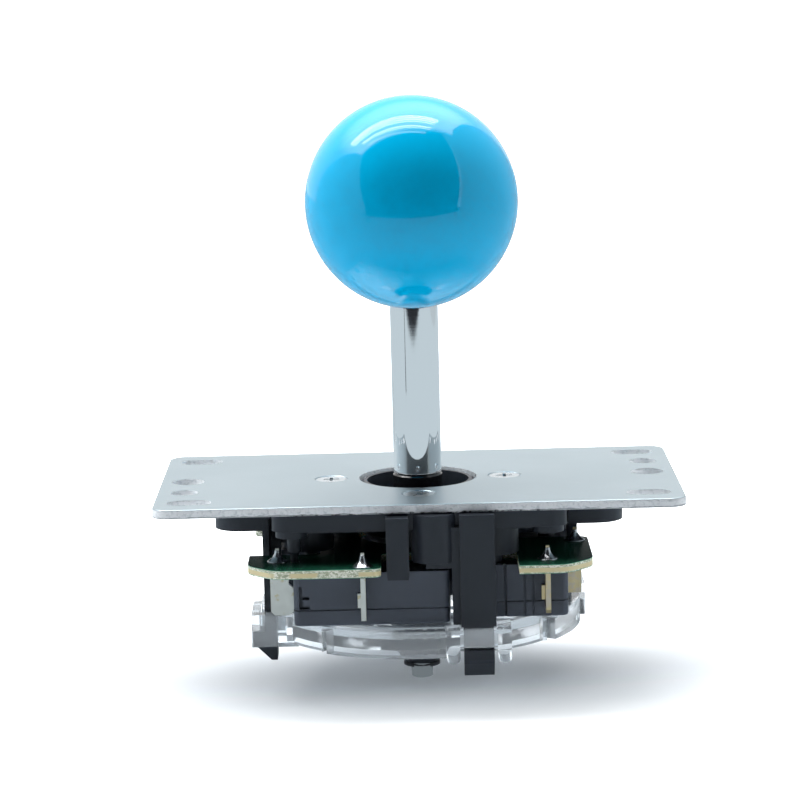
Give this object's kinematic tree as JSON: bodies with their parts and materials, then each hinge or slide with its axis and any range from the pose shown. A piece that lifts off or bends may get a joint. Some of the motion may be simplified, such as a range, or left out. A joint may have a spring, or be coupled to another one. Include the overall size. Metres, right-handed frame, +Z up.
{
  "type": "arcade joystick lever",
  "caption": "Ball-top arcade joystick lever on a slotted steel plate, with sprung tilt, micro switches, circuit board and a clear square gate.",
  "frame": {"origin": "on the lever's axis at the mounting plate's upper face, in the middle of its four corner slots", "axes": "+X along the plate's long side, +Y to the side away from the picture's viewer, +Z up along the lever to the ball"},
  "size_m": [0.095, 0.0619, 0.1083],
  "materials": {
    "plate_zinc": "satin bright zinc plating, lengthwise grain",
    "screw_steel": "bright zinc plating",
    "black_moulding": "satin moulded, fine texture",
    "pivot_black": "greased, semi-gloss",
    "shaft_chrome": "polished",
    "ball_blue": "polished gloss",
    "brass": "turned",
    "spring_steel": "drawn wire",
    "seat_steel": "stamped, tumbled",
    "ring_steel": "blued",
    "board_green": "green solder mask over glass laminate",
    "switch_case_grey": "satin moulded",
    "plunger_black": "satin moulded",
    "terminal_tin": "tinned strip with stamping marks",
    "solder": "bright solder",
    "connector_white": "natural moulding",
    "connector_pin_tin": "tinned",
    "gate_clear": "clear moulding"
  },
  "bodies": {
    "frame": {"mounting_plate": "plate_zinc", "plate_screws": "screw_steel", "housing": "black_moulding", "upper_spring_seat": "seat_steel", "circuit_board": "board_green", "solder_joints": "solder", "connector_housing": "connector_white", "connector_pins": "connector_pin_tin", "restrictor_gate": "gate_clear", "switch_case_front": "switch_case_grey", "switch_cover_front": "switch_case_grey", "switch_terminals_front": "terminal_tin", "switch_case_right": "switch_case_grey", "switch_cover_right": "switch_case_grey", "switch_terminals_right": "terminal_tin", "switch_case_back": "switch_case_grey", "switch_cover_back": "switch_case_grey", "switch_terminals_back": "terminal_tin", "switch_case_left": "switch_case_grey", "switch_cover_left": "switch_case_grey", "switch_terminals_left": "terminal_tin"},
    "rocker": {"return_spring": "spring_steel"},
    "lever": {"pivot": "pivot_black", "actuator": "black_moulding", "lower_spring_seat": "seat_steel"},
    "stick": {"shaft": "shaft_chrome", "ball_top": "ball_blue", "ball_insert": "brass", "e_ring": "ring_steel"},
    "plunger_front": {"switch_plunger_front": "plunger_black"},
    "plunger_right": {"switch_plunger_right": "plunger_black"},
    "plunger_back": {"switch_plunger_back": "plunger_black"},
    "plunger_left": {"switch_plunger_left": "plunger_black"}
  },
  "joints": [
    {"name": "tilt_back_forth", "type": "hinge", "parent": "frame", "child": "rocker", "pos_m": [0, 0, -0.008], "axis": [1, 0, 0], "range_deg": [-8.5, 8.5], "stiffness_Nm_per_rad": 0.75, "deforming": ["return_spring"]},
    {"name": "tilt_left_right", "type": "hinge", "parent": "rocker", "child": "lever", "pos_m": [0, 0, -0.008], "axis": [0, 1, 0], "range_deg": [-8.5, 8.5], "stiffness_Nm_per_rad": 0.75},
    {"name": "ball_spin", "type": "hinge", "parent": "lever", "child": "stick", "pos_m": [0, 0, 0], "axis": [0, 0, 1], "continuous": true},
    {"name": "press_front", "type": "slide", "parent": "frame", "child": "plunger_front", "axis": [0, 1, 0], "range_m": [-0.00101, 0.00101]},
    {"name": "press_right", "type": "slide", "parent": "frame", "child": "plunger_right", "axis": [1, 0, 0], "range_m": [-0.00101, 0.00101]},
    {"name": "press_back", "type": "slide", "parent": "frame", "child": "plunger_back", "axis": [0, 1, 0], "range_m": [-0.00101, 0.00101]},
    {"name": "press_left", "type": "slide", "parent": "frame", "child": "plunger_left", "axis": [1, 0, 0], "range_m": [-0.00101, 0.00101]}
  ],
  "couplings": [
    {"joint": "press_front", "follows": "tilt_back_forth", "m_per_rad": 0.00674},
    {"joint": "press_right", "follows": "tilt_left_right", "m_per_rad": -0.00674},
    {"joint": "press_back", "follows": "tilt_back_forth", "m_per_rad": 0.00674},
    {"joint": "press_left", "follows": "tilt_left_right", "m_per_rad": -0.00674}
  ]
}
